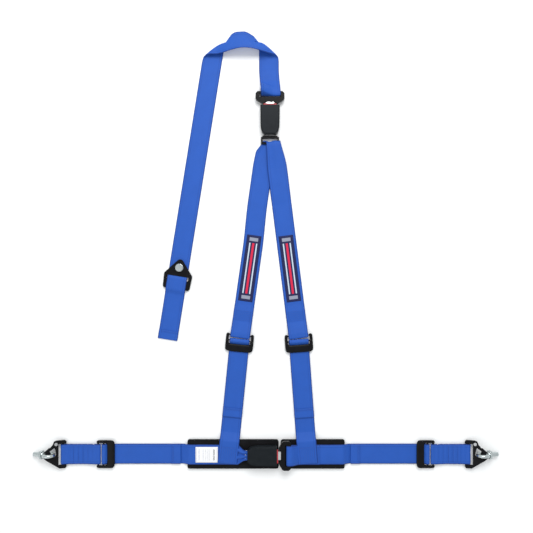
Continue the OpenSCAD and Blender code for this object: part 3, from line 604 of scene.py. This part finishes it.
def pillow(name, x0, x1, y0, y1, thick, corner, material, lumps):
    """Cushion with rounded corners: a bulging top and bottom joined by a piped edge. lumps(x, y)
    lowers or raises the top by a few tenths of a millimetre."""
    u, v = np.linspace(-1, 1, 121), np.linspace(-1, 1, 41)
    a, b = np.meshgrid(u, v, indexing="ij")
    half = np.array([(x1 - x0) / 2, (y1 - y0) / 2])
    mid = np.array([(x1 + x0) / 2, (y1 + y0) / 2])
    ex, ey = np.abs(a) * half[0] - (half[0] - corner), np.abs(b) * half[1] - (half[1] - corner)
    over = np.hypot(np.maximum(ex, 0), np.maximum(ey, 0))
    pull = np.where(over > corner, corner / np.maximum(over, 1e-9), 1)
    x = np.where((ex > 0) & (ey > 0), np.sign(a) * (half[0] - corner + ex * pull), a * half[0]) + mid[0]
    y = np.where((ex > 0) & (ey > 0), np.sign(b) * (half[1] - corner + ey * pull), b * half[1]) + mid[1]
    inside = np.minimum(1 - np.abs(a), (1 - np.abs(b)) * half[1] / half[0]) * half[0]
    swell = np.sqrt(1 - (1 - np.clip(inside / 0.006, 0, 1)) ** 2)
    piping = 0.0007 * np.exp(-((inside - 0.0022) / 0.0011) ** 2)
    piping = piping - 0.0008 * np.exp(-((inside - 0.0056) / 0.0012) ** 2)
    mid_z = thick / 2
    top = mid_z + (thick / 2 - 0.0003) * swell + piping + lumps(x, y) * smooth((inside - 0.004) / 0.01)
    low = mid_z - (thick / 2 - 0.0003) * swell
    grid = lambda z: np.stack([x, y, z], 2)
    edge = lambda g: np.concatenate([g[:, 0], g[-1, 1:], g[-2::-1, -1], g[0, -2:0:-1]])
    up, down = grid(top), grid(low)
    count = up.shape[0] * up.shape[1]
    index = np.arange(count).reshape(up.shape[:2])
    quad = lambda k: np.stack([k[:-1, :-1], k[1:, :-1], k[1:, 1:], k[:-1, 1:]], 2).reshape(-1, 4)
    rim = edge(index)
    nxt = np.roll(rim, -1)
    faces = np.concatenate([quad(index), quad(index + count)[:, ::-1],
                            np.stack([rim + count, nxt + count, nxt, rim], 1)])
    return new_mesh(name, np.concatenate([up.reshape(-1, 3), down.reshape(-1, 3)]), faces, material)


def soft_lumps(x, y):
    """Low lumps of the foam under the cover."""
    return 0.0003 * np.sin(x * 75) + 0.0002 * np.sin(x * 131 + y * 90)


pad_black = cloth_material("pad_cloth", (0.0035, 0.0035, 0.0045, 1), (0.008, 0.008, 0.010, 1), 0.0011)
for side in SIDES:
    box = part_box("lap_pad_" + side)
    cushion = pillow("lap_cushion_" + side, box[0][0], box[1][0], box[0][1], box[1][1], pad_top - 0.0004, 0.006,
                     pad_black, soft_lumps)
    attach(cushion, shoulder_body(side))
    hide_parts("lap_pad_" + side)

# ---- Shoulder patches: navy woven patches with a red bar between pale lines, sewn on ----


def patch_material():
    """Navy field with a red middle bar, a pale line on each side of it and a grey bar at each end; the
    map's u runs across the patch and v along it, both in metres from its middle."""
    mat = bpy.data.materials.new("patch_cloth")
    mat.use_nodes = True
    tree = mat.node_tree
    shader = tree.nodes["Principled BSDF"]
    split = tree.nodes.new("ShaderNodeSeparateXYZ")
    tree.links.new(tree.nodes.new("ShaderNodeUVMap").outputs[0], split.inputs[0])
    across = math_node(tree, "ABSOLUTE", split.outputs[0])
    along = math_node(tree, "ABSOLUTE", split.outputs[1])
    colour = (0.006, 0.008, 0.060, 1)

    def band(value, middle, half):
        made = math_node(tree, "COMPARE", value, middle)
        made.node.inputs[2].default_value = half
        return made

    reach_in = math_node(tree, "LESS_THAN", along, 0.062)
    for value, limit, tint in ((band(across, 0.0, 0.0027), reach_in, (0.62, 0.012, 0.055, 1)),
                               (band(across, 0.0083, 0.0016), reach_in, (0.50, 0.60, 0.70, 1)),
                               (band(along, 0.0710, 0.0042), math_node(tree, "LESS_THAN", across, 0.0105),
                                (0.26, 0.28, 0.36, 1))):
        colour = mix_color(tree, math_node(tree, "MULTIPLY", value, limit), colour, tint)
    tree.links.new(colour, shader.inputs["Base Color"])
    shader.inputs["Roughness"].default_value = 0.6
    shader.inputs["Specular IOR Level"].default_value = 0.3
    threads = math_node(tree, "SINE", math_node(tree, "MULTIPLY", split.outputs[1], 2 * np.pi / 0.0009))
    bump = node(tree, "ShaderNodeBump", Strength=0.25, Distance=0.0003)
    tree.links.new(threads, bump.inputs["Height"])
    tree.links.new(bump.outputs[0], shader.inputs["Normal"])
    return mat


patch_navy = patch_material()
PATCH_W, PATCH_L, PATCH_AT = 0.035, 0.162, 0.226
for side in SIDES:
    start, heading, reach_l = shoulder_place(side)
    x = np.linspace(PATCH_AT, PATCH_AT + PATCH_L, 60)
    t = np.linspace(-1, 1, 13)
    flat = np.zeros((60, 13, 3))
    flat[:, :, 0] = x[:, None]
    flat[:, :, 1] = PATCH_W / 2 * t
    flat[:, :, 2] = WEB_Z + WEB_T / 2 + 0.0005 - 0.0002 * np.abs(t) ** 6
    flat = placed(flat, (start[0], start[1], 0), heading)
    patch = ribbon("sewn_patch_" + side, flat, surface_normals(flat), PATCH_W / 2 * t,
                   (x - x.mean())[:, None], patch_navy, thick=0.0007)
    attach(patch, shoulder_body(side))
    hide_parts("shoulder_patch_" + side)

# ---- Sewn label on the left lap strap: white cloth with plain grey rules and a dark bar ----


def label_material():
    """White cloth, a dark bar at one end and fine rules that stand for print."""
    mat = bpy.data.materials.new("label_cloth")
    mat.use_nodes = True
    tree = mat.node_tree
    shader = tree.nodes["Principled BSDF"]
    split = tree.nodes.new("ShaderNodeSeparateXYZ")
    tree.links.new(tree.nodes.new("ShaderNodeUVMap").outputs[0], split.inputs[0])
    across, along = split.outputs[0], split.outputs[1]
    inner = math_node(tree, "LESS_THAN", math_node(tree, "ABSOLUTE", across), 0.0135)

    def band(middle, half):
        made = math_node(tree, "COMPARE", along, middle)
        made.node.inputs[2].default_value = half
        return math_node(tree, "MULTIPLY", made, inner)

    speck = node(tree, "ShaderNodeTexNoise", Scale=900.0, Detail=2.0)
    tree.links.new(tree.nodes.new("ShaderNodeTexCoord").outputs["Object"], speck.inputs["Vector"])
    broken = ramp_node(tree, speck.outputs[0], 0.45, 0.55)
    colour = (0.84, 0.84, 0.85, 1)
    for middle, half, tint in ((0.0175, 0.0020, (0.05, 0.05, 0.055, 1)), (0.0060, 0.0007, (0.35, 0.36, 0.38, 1)),
                               (0.0015, 0.0007, (0.45, 0.46, 0.48, 1)), (-0.0030, 0.0007, (0.45, 0.46, 0.48, 1)),
                               (-0.0085, 0.0007, (0.4, 0.42, 0.48, 1)), (-0.0185, 0.0009, (0.18, 0.26, 0.5, 1))):
        colour = mix_color(tree, math_node(tree, "MULTIPLY", band(middle, half), broken), colour, tint)
    tree.links.new(colour, shader.inputs["Base Color"])
    shader.inputs["Roughness"].default_value = 0.55
    return mat


label_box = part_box("care_label")
x = np.linspace(label_box[0][0], label_box[1][0], 40)
t = np.linspace(-1, 1, 15)
flat = np.zeros((40, 15, 3))
flat[:, :, 0] = x[:, None]
flat[:, :, 1] = lap_y + (label_box[1][1] - label_box[0][1]) / 2 * t
flat[:, :, 2] = over_pad + WEB_T / 2 + 0.0009 + 0.0004 * np.sin((x - x[0]) * 60)[:, None] * (1 - t ** 2)
label = ribbon("lap_label", flat, surface_normals(flat), (label_box[1][1] - label_box[0][1]) / 2 * t,
               (x - x.mean())[:, None], label_material(), thick=0.0004)
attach(label, "harness")
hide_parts("care_label")

# ---- Stitching: rows of short thread stitches at the hems, loops and sewn junctions ----


def thread_material():
    """Blue thread, a shade darker than the webbing, with a twisted ply."""
    mat = bpy.data.materials.new("thread")
    mat.use_nodes = True
    tree = mat.node_tree
    shader = tree.nodes["Principled BSDF"]
    twist = node(tree, "ShaderNodeTexWave", Scale=900.0, Distortion=1.0)
    tree.links.new(tree.nodes.new("ShaderNodeTexCoord").outputs["Object"], twist.inputs["Vector"])
    tree.links.new(mix_color(tree, twist.outputs["Fac"], (0.007, 0.03, 0.19, 1), (0.014, 0.055, 0.30, 1)),
                   shader.inputs["Base Color"])
    shader.inputs["Roughness"].default_value = 0.5
    return mat


thread = thread_material()


def stitches(name, body, rows, origin, angle):
    """Thread stitches along straight rows, each ((x, y, z), (x, y, z)) in a strap's frame: every
    stitch is a six-sided grain, 2.3 mm long, that dips into the webbing at both ends."""
    ring = np.linspace(0, 2 * np.pi, 6, endpoint=False)
    grain = np.array([[-1, 0.10, -0.9], [-0.62, 0.75, 0.05], [0, 1, 0.35], [0.62, 0.75, 0.05], [1, 0.10, -0.9]])
    points, faces = [], []
    for a, b in rows:
        a, b = np.array(a, float), np.array(b, float)
        run = b - a
        long = np.linalg.norm(run)
        run = run / long
        across = np.cross([0, 0, 1], run)
        across /= np.linalg.norm(across)
        up = np.cross(run, across)
        count = max(1, round(long / 0.0030))
        for k in range(count):
            mid = a + run * long * (k + 0.5) / count
            first = len(points)
            for along, fat, lift in grain:
                for q in ring:
                    turned = np.cos(q) * across + np.sin(q) * up
                    points.append(mid + run * 0.00115 * along + 0.00032 * fat * turned
                                  + up * 0.00028 * lift)
            for i in range(4):
                for j in range(6):
                    m = (j + 1) % 6
                    low = first + 6 * i
                    faces.append([low + j, low + m, low + 6 + m, low + 6 + j])
            faces.append([first + j for j in range(5, -1, -1)])
            faces.append([first + 24 + j for j in range(6)])
    points = placed(np.array(points), origin, angle)
    mesh = bpy.data.meshes.new(name)
    mesh.from_pydata(points.tolist(), [], faces)
    mesh.polygons.foreach_set("use_smooth", np.ones(len(faces), bool))
    mesh.materials.append(thread)
    piece = bpy.data.objects.new(name, mesh)
    bpy.context.collection.objects.link(piece)
    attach(piece, body)


SKIN = WEB_T / 2 + 0.0001
HALF = 0.0205


def rows_across(xs, z, half=HALF):
    """One row straight across the strap at each x."""
    return [((x, -half, z), (x, half, z)) for x in xs]


for side, sign, turned in MIRRORED:
    start, heading, reach_l = shoulder_place(side)
    loop_rows = rows_across([reach_l - 0.073 + 0.0045 * k for k in range(3, 9)], WEB_Z + LAYER + SKIN)
    stitches("shoulder_loop_stitches_" + side, shoulder_body(side), loop_rows, (start[0], start[1], 0), heading)
    x0, x1 = PATCH_AT + 0.0022, PATCH_AT + PATCH_L - 0.0022
    y, z = PATCH_W / 2 - 0.0018, WEB_Z + WEB_T / 2 + 0.0009
    frame_rows = [((x0, -y, z), (x1, -y, z)), ((x0, y, z), (x1, y, z)),
                  ((x0, -y, z), (x0, y, z)), ((x1, -y, z), (x1, y, z))]
    stitches("patch_stitches_" + side, shoulder_body(side), frame_rows, (start[0], start[1], 0), heading)
    bar = shoulder_bar(side)
    heading = CHEST_HEADING[side]
    down = abs(np.sin(np.radians(heading)))
    over = chest_end_z(side) + SKIN
    far, near = (bar[1] - lap_y + 0.018) / down, (bar[1] - lap_y - 0.018) / down
    pack = [((near, y, over), (far, y, over)) for y in np.linspace(-0.0175, 0.0175, 8)]
    pack += rows_across([near, far], over, 0.019)
    stitches("junction_stitches_" + side, shoulder_body(side), pack, (bar[0], bar[1], 0), heading)
    hem = rows_across([TAIL_L - 0.0195, TAIL_L - 0.017], TAIL_Z + HEM + SKIN)
    stitches("chest_hem_stitches_" + side, shoulder_body(side), hem, (bar[0], bar[1], 0), heading)
    stitches("lap_hem_stitches_" + side, "lap_end_" + side, hem, (sign * adj_x, lap_y, 0), turned)
    x = -(hook_x - adj_x)
    top = []
    for p in np.linspace(x + 0.020, -0.026, 8):
        top += rows_across([p], float(np.interp(p, [x + 0.014, -0.032], [0.0070, 0.0060])) + SKIN)
    stitches("hook_strap_stitches_" + side, "lap_end_" + side, top, (sign * adj_x, lap_y, 0), turned)

loop_end = lap_mouth + 0.104
stitches("tongue_strap_stitches", "right_half",
         rows_across([loop_end - 0.0035, loop_end - 0.0085], over_pad + LAYER + SKIN), (0, lap_y, 0), 0)
label_ends = [label_box[0][0] + 0.002, label_box[1][0] - 0.002]
stitches("label_stitches", "harness", rows_across(label_ends, over_pad + WEB_T / 2 + 0.0014, 0.0168),
         (0, lap_y, 0), 0)
bracket_turn = -90 - REAR_LEAN
stitches("rear_hem_stitches", "rear_strap", rows_across([TAIL_RUN - 0.0195, TAIL_RUN - 0.017], WEB_Z + HEM + SKIN),
         (slot_at[0], slot_at[1], 0), bracket_turn)

# ---- Hardware finishes: satin black coat, bright zinc, moulded plastics and polished steel ----


def hard_material(name, base, light, rough, metal=0.0, grain=900.0, relief=0.00008, coat=0.0, specular=0.5):
    """Hard surface with mottled tone and roughness, a painted highlight as a lighter tone on its rounded edges, and
    a fine grain.
    """
    mat = bpy.data.materials.new(name)
    mat.use_nodes = True
    tree = mat.node_tree
    shader = tree.nodes["Principled BSDF"]
    place = tree.nodes.new("ShaderNodeTexCoord").outputs["Object"]
    cloudy = node(tree, "ShaderNodeTexNoise", Scale=70.0, Detail=5.0)
    fine = node(tree, "ShaderNodeTexNoise", Scale=grain, Detail=2.0)
    for made in (cloudy, fine):
        tree.links.new(place, made.inputs["Vector"])
    edge = node(tree, "ShaderNodeBevel", Radius=0.0009)
    edge.samples = 4
    shape = tree.nodes.new("ShaderNodeNewGeometry")
    turn = tree.nodes.new("ShaderNodeVectorMath")
    turn.operation = "DOT_PRODUCT"
    tree.links.new(edge.outputs[0], turn.inputs[0])
    tree.links.new(shape.outputs["Normal"], turn.inputs[1])
    # painted highlight: where the bevelled normal parts from the true normal, at rounded edges, the colour is mixed
    # 60% towards the light tone
    edge_highlight_mask = ramp_node(tree, turn.outputs["Value"], 0.80, 0.985, (1, 1, 1, 1), (0, 0, 0, 1))
    tone = mix_color(tree, cloudy.outputs[0], base, tuple(0.7 * np.array(base) + 0.3 * np.array(light)))
    edge_highlighted_colour = mix_color(tree, math_node(tree, "MULTIPLY", edge_highlight_mask, 0.6), tone, light)
    tree.links.new(edge_highlighted_colour, shader.inputs["Base Color"])
    rougher = ramp_node(tree, cloudy.outputs[0], 0.3, 0.75, (rough * 0.85,) * 3 + (1,),
                        (min(1, rough * 1.2),) * 3 + (1,))
    tree.links.new(rougher, shader.inputs["Roughness"])
    shader.inputs["Metallic"].default_value = metal
    shader.inputs["Coat Weight"].default_value = coat
    shader.inputs["Specular IOR Level"].default_value = specular
    bump = node(tree, "ShaderNodeBump", Strength=0.25, Distance=relief)
    tree.links.new(fine.outputs[0], bump.inputs["Height"])
    tree.links.new(edge.outputs[0], bump.inputs["Normal"])
    tree.links.new(bump.outputs[0], shader.inputs["Normal"])
    return mat


def paint(material, slot, *names):
    """Gives CAD nodes a finish; the slot argument is not used."""
    for name in names:
        part = frame["nodes"][name]
        part.data.materials.clear()
        part.data.materials.append(material)


def adjuster_frame(name, body, origin, angle, material):
    """Cast adjuster: one closed ring of a frame whose section runs from a thin bar at its fixed end,
    through two rails, to a broad barrel-topped grip bar. Pairs give its outer and inner edge in mm."""
    pairs = np.array([[-1.5, 0, 1.5, 0], [-1.5, 25, 1.5, 25], [-4.1, 27.4, 1.7, 26.6], [-4.4, 31, 2.2, 27],
                      [-1.5, 33.8, 4, 27], [8, 34, 9, 27], [30, 34, 17, 27], [36, 33, 20, 25.8],
                      [39.4, 28.5, 21.3, 23.5], [40.2, 20, 21.6, 18], [40.2, 0, 21.6, 0]]) * MM
    back = pairs[-2:0:-1] * [1, -1, 1, -1]
    ring = np.concatenate([pairs, back])
    closed = np.concatenate([ring, ring[:1]])
    run = np.r_[0, np.cumsum(np.linalg.norm(np.diff(closed[:, :2], axis=0), axis=1))]
    s = np.linspace(0, run[-1], 241)[:-1]
    fine = np.stack([np.interp(s, run, closed[:, k]) for k in range(4)], 1)
    for _ in range(3):
        fine = (np.roll(fine, 1, 0) + 2 * fine + np.roll(fine, -1, 0)) / 4
    outer, inner = fine[:, :2], fine[:, 2:]
    breadth = np.linalg.norm(outer - inner, axis=1)
    broad = smooth((breadth - 0.010) / 0.006)
    q = np.linspace(0, 2 * np.pi, 25)[:-1]
    c, z = np.cos(q), np.sin(q)
    c, z = np.sign(c) * np.abs(c) ** 0.72, np.sign(z) * np.abs(z) ** 0.72
    mid, half = (outer + inner) / 2, (outer - inner) / 2
    points = np.zeros((len(s), len(q), 3))
    points[:, :, :2] = mid[:, None] + half[:, None] * c[None, :, None]
    rise = 0.0015 + 0.0016 * broad
    points[:, :, 2] = BAR_Z + np.where(z > 0, z * rise[:, None], z * 0.0015)
    n, m = len(s), len(q)
    i, j = np.meshgrid(np.arange(n), np.arange(m), indexing="ij")
    a, b = i * m + j, i * m + (j + 1) % m
    next_b, next_a = (i + 1) % n * m + (j + 1) % m, (i + 1) % n * m + j
    faces = np.stack([a, b, next_b, next_a], 2).reshape(-1, 4)
    piece = new_mesh(name, placed(points.reshape(-1, 3), origin, angle), faces, material)
    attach(piece, body)
    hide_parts(body)


# Each finish's second colour tints its mottling and is also the colour of its painted edge highlight.
black_coat = hard_material("black_coat", (0.003, 0.003, 0.0036, 1), (0.022, 0.022, 0.026, 1), 0.32,
                           grain=1300.0, specular=0.1)
paired = ("shoulder_lock_bar_", "lap_lock_bar_", "snap_hook_", "hook_gate_")
paint(black_coat, "black_steel", "upper_anchor_ring", "rear_bracket",
      *[part + side for part in paired for side in SIDES])
for side, sign, turned in MIRRORED:
    adjuster_frame("lap_frame_" + side, "lap_adjuster_" + side, (sign * adj_x, lap_y, 0), turned, black_coat)
    bar = shoulder_bar(side)
    adjuster_frame("shoulder_frame_" + side, "shoulder_adjuster_" + side, (bar[0], bar[1], 0),
                   CHEST_HEADING[side], black_coat)
zinc = hard_material("bright_zinc", (0.50, 0.56, 0.56, 1), (0.8, 0.82, 0.82, 1), 0.27, metal=1.0, grain=500.0)
paint(zinc, "bolt_zinc", "rear_anchor_bolt", "eyebolt_left", "eyebolt_right")
plate_zinc = hard_material("plate_zinc", (0.48, 0.49, 0.50, 1), (0.75, 0.75, 0.75, 1), 0.34, metal=1.0)
paint(plate_zinc, "zinc_plate", "gate_rivet_left", "gate_rivet_right", "upper_buckle_frame", "upper_buckle_latch",
      "lap_buckle_frame", "lap_buckle_latch")
polished = hard_material("tongue_steel", (0.66, 0.66, 0.65, 1), (0.85, 0.85, 0.85, 1), 0.16, metal=1.0, grain=300.0)
paint(polished, "tongue_steel", "upper_tongue_blade", "lap_tongue_blade")
spring_wire = hard_material("spring_wire", (0.42, 0.42, 0.43, 1), (0.6, 0.6, 0.6, 1), 0.3, metal=1.0)
paint(spring_wire, "spring_steel", "upper_buckle_springs", "lap_buckle_springs",
      "gate_spring_left", "gate_spring_right")
grip_black = hard_material("grip_plastic", (0.003, 0.003, 0.0035, 1), (0.015, 0.015, 0.017, 1), 0.36,
                           grain=1600.0, specular=0.1)
paint(grip_black, "grip_plastic", "upper_tongue_grip", "lap_tongue_grip")
inner_grey = hard_material("inner_plastic", (0.03, 0.03, 0.031, 1), (0.06, 0.06, 0.06, 1), 0.5)
paint(inner_grey, "inner_plastic", "upper_buckle_ejector", "lap_buckle_ejector")
button_red = hard_material("button_plastic", (0.42, 0.006, 0.018, 1), (0.6, 0.02, 0.04, 1), 0.3,
                           grain=300.0, coat=0.3)
paint(button_red, "button_plastic", "upper_buckle_button", "lap_buckle_button")
shell_grey = hard_material("buckle_plastic", (0.006, 0.0085, 0.0105, 1), (0.03, 0.034, 0.04, 1), 0.33,
                           grain=1500.0, specular=0.1)
paint(shell_grey, "buckle_plastic", "upper_buckle_base", "upper_buckle_cover", "lap_buckle_base", "lap_buckle_cover")
